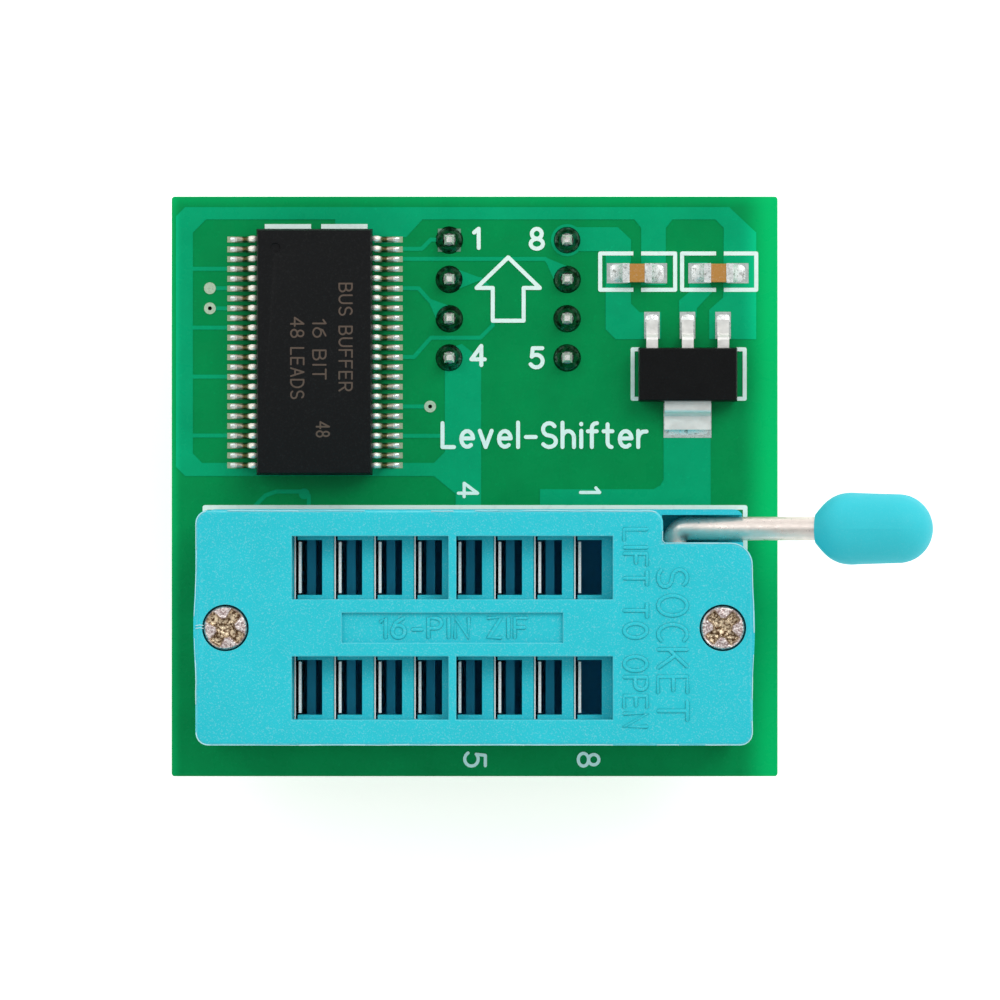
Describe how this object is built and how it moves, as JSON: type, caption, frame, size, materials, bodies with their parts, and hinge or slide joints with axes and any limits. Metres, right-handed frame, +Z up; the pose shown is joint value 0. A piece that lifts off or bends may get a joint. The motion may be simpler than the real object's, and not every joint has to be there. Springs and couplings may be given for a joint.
{
  "type": "programming adapter board",
  "caption": "Plug-in adapter board: a lever-operated zero-insertion-force chip socket over a pinned circuit board with a level-shifting buffer and a regulator.",
  "frame": {"origin": "centre of the eight header pins, on the underside of the header strips", "axes": "+Z up out of the component side, +X along the lever at rest towards its knob, +Y from the socket towards the header pins"},
  "size_m": [0.0488, 0.0375, 0.0221],
  "materials": {
    "board_laminate": "green solder mask, semi-gloss",
    "header_plastic": "black moulded",
    "pin_plating": "tinned",
    "solder": "tinned, glossy",
    "tinned_copper": "tinned",
    "socket_plastic": "blue-green moulded, satin",
    "screw_metal": "dull plated",
    "contact_metal": "plated spring bronze",
    "rod_metal": "nickel plated, satin",
    "knob_plastic": "blue-green moulded, satin",
    "chip_moulding": "black epoxy, fine texture",
    "lead_metal": "tinned, satin",
    "capacitor_ceramic": "brown ceramic, satin"
  },
  "bodies": {
    "board": {"circuit_board": "board_laminate", "plated_vias": "tinned_copper", "header_strip_left": "header_plastic", "header_strip_right": "header_plastic", "header_pin_1": "pin_plating", "header_pin_2": "pin_plating", "header_pin_3": "pin_plating", "header_pin_4": "pin_plating", "header_pin_5": "pin_plating", "header_pin_6": "pin_plating", "header_pin_7": "pin_plating", "header_pin_8": "pin_plating", "header_solder": "solder", "socket_base": "socket_plastic", "socket_cover": "socket_plastic", "cover_screw_left": "screw_metal", "cover_screw_right": "screw_metal", "contact_01": "contact_metal", "contact_02": "contact_metal", "contact_03": "contact_metal", "contact_04": "contact_metal", "contact_05": "contact_metal", "contact_06": "contact_metal", "contact_07": "contact_metal", "contact_08": "contact_metal", "contact_09": "contact_metal", "contact_10": "contact_metal", "contact_11": "contact_metal", "contact_12": "contact_metal", "contact_13": "contact_metal", "contact_14": "contact_metal", "contact_15": "contact_metal", "contact_16": "contact_metal", "contact_solder": "solder", "buffer_chip_body": "chip_moulding", "buffer_chip_leads_left": "lead_metal", "buffer_chip_leads_right": "lead_metal", "buffer_chip_pads": "solder", "regulator_body": "chip_moulding", "regulator_lead_1": "lead_metal", "regulator_lead_2": "lead_metal", "regulator_lead_3": "lead_metal", "regulator_tab": "lead_metal", "regulator_pads": "solder", "capacitor_left_block": "capacitor_ceramic", "capacitor_left_ends": "solder", "capacitor_right_block": "capacitor_ceramic", "capacitor_right_ends": "solder", "capacitor_pads": "solder"},
    "comb": {"socket_slider": "socket_plastic"},
    "lever": {"lever_rod": "rod_metal", "lever_knob": "knob_plastic"}
  },
  "joints": [
    {"name": "lever_turn", "type": "hinge", "parent": "board", "child": "lever", "pos_m": [0.01065, -0.01482, 0.01077], "axis": [0, -1, 0], "range_deg": [0, 80]},
    {"name": "comb_slide", "type": "slide", "parent": "board", "child": "comb", "axis": [1, 0, 0], "range_m": [-0.0007, 0], "deforming": ["contact_01", "contact_02", "contact_03", "contact_04", "contact_05", "contact_06", "contact_07", "contact_08", "contact_09", "contact_10", "contact_11", "contact_12", "contact_13", "contact_14", "contact_15", "contact_16"]}
  ],
  "couplings": [
    {"joint": "lever_turn", "follows": "comb_slide", "rad_per_m": -1994.7}
  ]
}
